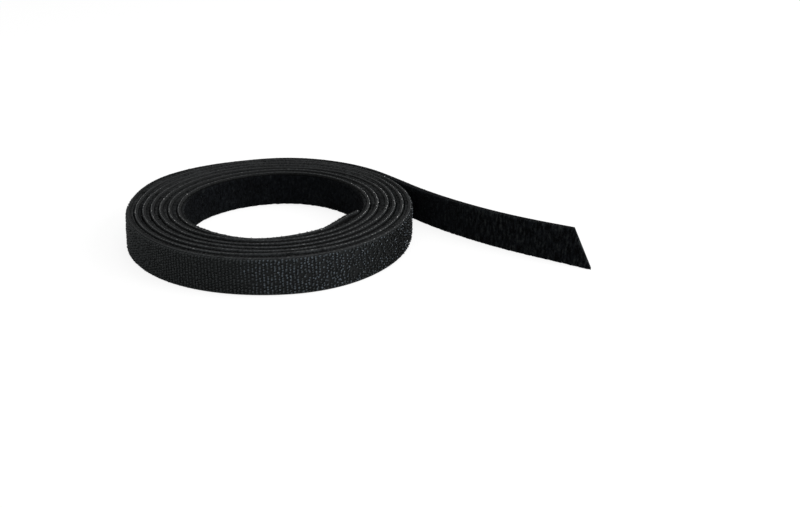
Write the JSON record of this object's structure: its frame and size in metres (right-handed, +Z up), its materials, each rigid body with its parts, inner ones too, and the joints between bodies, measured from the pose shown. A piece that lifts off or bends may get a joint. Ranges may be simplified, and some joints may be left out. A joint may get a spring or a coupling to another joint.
{
  "type": "hook and loop tape roll",
  "caption": "Coreless coil of black back-to-back hook and loop tape lying on its edges, hooks out and pile in, with a free tail that peels away from the outer turn.",
  "frame": {"origin": "on the surface that the roll lies on, under the middle of the whole outline", "axes": "+Z up along the coil's axis and across the tape's width, +X towards the tail's free end"},
  "size_m": [0.126, 0.0826, 0.01],
  "materials": {
    "hook_rows": "stiff black nylon hooks with a faint gloss",
    "hook_web": "tightly woven black nylon ground, resin coated",
    "bond_film": "thin dull adhesive film",
    "loop_web": "woven black nylon ground",
    "loop_pile": "napped black nylon loops, velvety"
  },
  "bodies": {
    "coil": {"hook_rows_coil": "hook_rows", "hook_web_coil": "hook_web", "bond_film_coil": "bond_film", "loop_web_coil": "loop_web", "loop_pile_coil": "loop_pile"},
    "tail": {"hook_rows_tail": "hook_rows", "hook_web_tail": "hook_web", "bond_film_tail": "bond_film", "loop_web_tail": "loop_web", "loop_pile_tail": "loop_pile"}
  },
  "joints": [
    {"name": "tail_peel", "type": "hinge", "parent": "coil", "child": "tail", "pos_m": [0.01311, 0.02236, 0.005], "axis": [0, 0, 1], "range_deg": [-6, 90], "stiffness_Nm_per_rad": 0.004}
  ]
}
